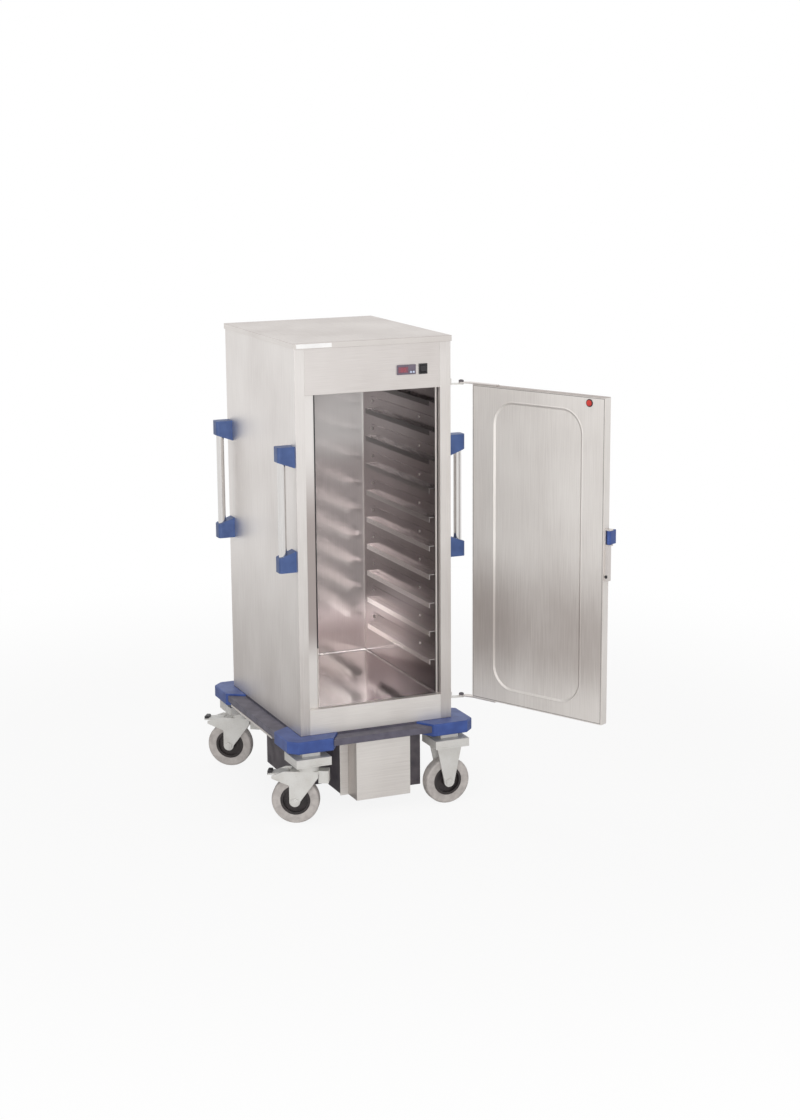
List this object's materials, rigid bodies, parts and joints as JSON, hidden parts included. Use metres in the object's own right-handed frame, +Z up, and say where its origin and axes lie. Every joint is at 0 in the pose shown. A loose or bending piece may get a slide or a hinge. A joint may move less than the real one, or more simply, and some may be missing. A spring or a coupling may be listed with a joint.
{
  "type": "heated holding cabinet",
  "caption": "Upright stainless heated cabinet on castors with a hinged door standing open, tray rails inside, push handles, corner bumpers and a heating unit under the deck.",
  "frame": {"origin": "on the floor under the centre of the cabinet", "axes": "+Z up, +X to the right seen from the front, front towards -Y"},
  "size_m": [0.9327, 1.2139, 1.5],
  "materials": {
    "stainless_skin": "brushed",
    "stainless_lining": "satin",
    "bright_tube": "polished",
    "zinc_steel": "zinc plated",
    "blue_plastic": "satin",
    "slate_plastic": "satin",
    "grey_tyre": "matt",
    "dark_rim": "satin",
    "dark_housing": "matt",
    "black_plastic": "satin",
    "display_tint": "gloss",
    "pale_key": "satin",
    "red_cap": "gloss",
    "mineral_wool": "fibrous",
    "element_sheath": "heat tinted",
    "motor_case": "cast",
    "fan_metal": "satin"
  },
  "bodies": {
    "cabinet": {"left_side_panel": "stainless_skin", "right_side_panel": "stainless_skin", "back_panel": "stainless_skin", "top_cover": "stainless_skin", "header_panel": "stainless_skin", "sill_panel": "stainless_skin", "liner_wrap": "stainless_lining", "liner_ceiling": "stainless_lining", "floor_pan": "stainless_lining", "insulation": "mineral_wool", "left_tray_rails": "stainless_lining", "right_tray_rails": "stainless_lining", "rail_screws": "stainless_lining", "thermostat_body": "black_plastic", "display_window": "display_tint", "rocker_frame": "black_plastic", "base_deck": "zinc_steel", "deck_skirts": "slate_plastic", "castor_mounts": "zinc_steel", "swivel_castor_plates": "zinc_steel", "heater_box": "stainless_skin", "underbody_housing": "dark_housing", "heating_element": "element_sheath", "fan_motor": "motor_case", "mains_gland": "black_plastic", "front_left_bumper": "blue_plastic", "rear_left_bumper": "blue_plastic", "front_right_bumper": "blue_plastic", "rear_right_bumper": "blue_plastic", "fixed_castor_brackets": "zinc_steel", "fixed_castor_axles": "zinc_steel", "handle_brackets": "blue_plastic", "handle_tubes": "bright_tube", "hinge_brackets": "zinc_steel"},
    "door": {"door_shell": "stainless_skin", "door_inner_panel": "stainless_skin", "door_core": "mineral_wool", "hinge_arms": "stainless_skin", "latch_body": "stainless_skin", "door_magnet": "red_cap"},
    "latch_grip": {"latch_grip": "blue_plastic"},
    "power_rocker": {"power_rocker": "black_plastic"},
    "key_up": {"key_up": "pale_key"},
    "key_down": {"key_down": "pale_key"},
    "fan": {"fan_impeller": "fan_metal"},
    "front_left_fork": {"front_left_castor_fork": "zinc_steel", "front_left_castor_axle": "zinc_steel"},
    "rear_left_fork": {"rear_left_castor_fork": "zinc_steel", "rear_left_castor_axle": "zinc_steel"},
    "front_left_wheel": {"front_left_castor_rim": "dark_rim", "front_left_castor_tyre": "grey_tyre"},
    "rear_left_wheel": {"rear_left_castor_rim": "dark_rim", "rear_left_castor_tyre": "grey_tyre"},
    "front_right_wheel": {"front_right_castor_rim": "dark_rim", "front_right_castor_tyre": "grey_tyre"},
    "rear_right_wheel": {"rear_right_castor_rim": "dark_rim", "rear_right_castor_tyre": "grey_tyre"},
    "front_left_pedal": {"front_left_castor_pedal": "zinc_steel"},
    "rear_left_pedal": {"rear_left_castor_pedal": "zinc_steel"}
  },
  "joints": [
    {"name": "door_swing", "type": "hinge", "parent": "cabinet", "child": "door", "pos_m": [0.292, -0.32, 0.85], "axis": [0, 0, 1], "range_deg": [-116.4, 63.6]},
    {"name": "latch_turn", "type": "hinge", "parent": "door", "child": "latch_grip", "pos_m": [0.55039, -0.80454, 0.931], "axis": [0, 0, -1], "range_deg": [0, 30], "stiffness_Nm_per_rad": 0.3, "springref_deg": -11.46},
    {"name": "front_left_swivel", "type": "hinge", "parent": "cabinet", "child": "front_left_fork", "pos_m": [-0.235, -0.322, 0.19], "axis": [0, 0, 1], "continuous": true},
    {"name": "front_left_roll", "type": "hinge", "parent": "front_left_fork", "child": "front_left_wheel", "pos_m": [-0.27032, -0.30322, 0.075], "axis": [-0.4695, -0.8829, 0], "continuous": true},
    {"name": "front_left_brake", "type": "hinge", "parent": "front_left_fork", "child": "front_left_pedal", "pos_m": [-0.29239, -0.29148, 0.163], "axis": [-0.4695, -0.8829, 0], "range_deg": [0, 10]},
    {"name": "rear_left_swivel", "type": "hinge", "parent": "cabinet", "child": "rear_left_fork", "pos_m": [-0.235, 0.308, 0.19], "axis": [0, 0, 1], "continuous": true},
    {"name": "rear_left_roll", "type": "hinge", "parent": "rear_left_fork", "child": "rear_left_wheel", "pos_m": [-0.26816, 0.33037, 0.075], "axis": [-0.5592, -0.829, 0], "continuous": true},
    {"name": "rear_left_brake", "type": "hinge", "parent": "rear_left_fork", "child": "rear_left_pedal", "pos_m": [-0.28889, 0.34435, 0.163], "axis": [-0.5592, -0.829, 0], "range_deg": [0, 10]},
    {"name": "front_right_roll", "type": "hinge", "parent": "cabinet", "child": "front_right_wheel", "pos_m": [0.235, -0.322, 0.075], "axis": [0, 1, 0], "continuous": true},
    {"name": "rear_right_roll", "type": "hinge", "parent": "cabinet", "child": "rear_right_wheel", "pos_m": [0.235, 0.308, 0.075], "axis": [0, 1, 0], "continuous": true},
    {"name": "fan_spin", "type": "hinge", "parent": "cabinet", "child": "fan", "pos_m": [0.11, 0.0135, 0.13], "axis": [0, 0, 1], "continuous": true},
    {"name": "rocker_tilt", "type": "hinge", "parent": "cabinet", "child": "power_rocker", "pos_m": [0.163, -0.318, 1.402], "axis": [1, 0, 0], "range_deg": [0, 16]},
    {"name": "key_up_press", "type": "slide", "parent": "cabinet", "child": "key_up", "axis": [0, 1, 0], "range_m": [0, 0.0008], "stiffness_N_per_m": 600, "springref_m": -0.0008},
    {"name": "key_down_press", "type": "slide", "parent": "cabinet", "child": "key_down", "axis": [0, 1, 0], "range_m": [0, 0.0008], "stiffness_N_per_m": 600, "springref_m": -0.0008}
  ]
}
